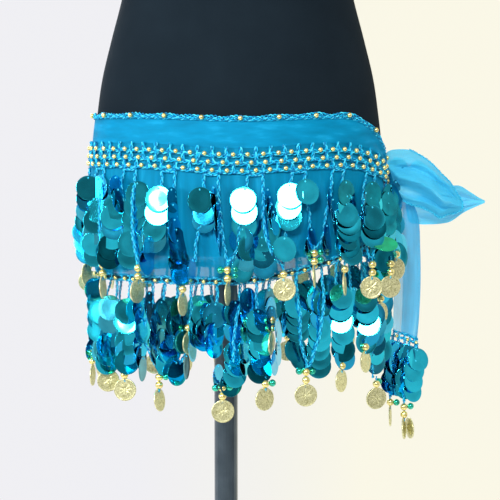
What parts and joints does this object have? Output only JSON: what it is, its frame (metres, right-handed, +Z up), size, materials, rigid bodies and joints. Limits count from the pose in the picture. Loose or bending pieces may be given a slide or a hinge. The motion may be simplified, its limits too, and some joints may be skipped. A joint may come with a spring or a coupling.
{
  "type": "belly dance hip scarf on a dress form",
  "caption": "Sheer wrap tied at one hip, with a beaded crochet net band and two rows of sequin and coin fringe, on a limbless dress form with a pole and a round foot.",
  "frame": {"origin": "on the floor, under the middle of the dress form's hips", "axes": "+Z up; the scarf's front faces -Y; the knot is on the +X hip"},
  "size_m": [0.4793, 0.35, 1.582],
  "materials": {
    "black_jersey": "matt knitted cover",
    "dark_metal": "satin",
    "chiffon": "sheer plain weave",
    "crochet": "crocheted two-tone thread",
    "sequins": "metallised, mirror-bright"
  },
  "bodies": {
    "root": {"form_body": "black_jersey", "stand_pole": "dark_metal", "stand_base": "dark_metal", "scarf_cloth": "chiffon", "upper_cord": "crochet", "net_band_front": "crochet", "net_band_back": "crochet", "hem_edging_front": "crochet", "hem_edging_back": "crochet", "upper_fringe_front": "sequins", "upper_fringe_back": "sequins", "lower_fringe_front": "sequins", "lower_fringe_back": "sequins", "side_knot": "chiffon", "tied_end_flap": "chiffon", "tied_end_point": "chiffon", "hanging_end": "chiffon", "hanging_end_fringe": "sequins"}
  },
  "joints": []
}
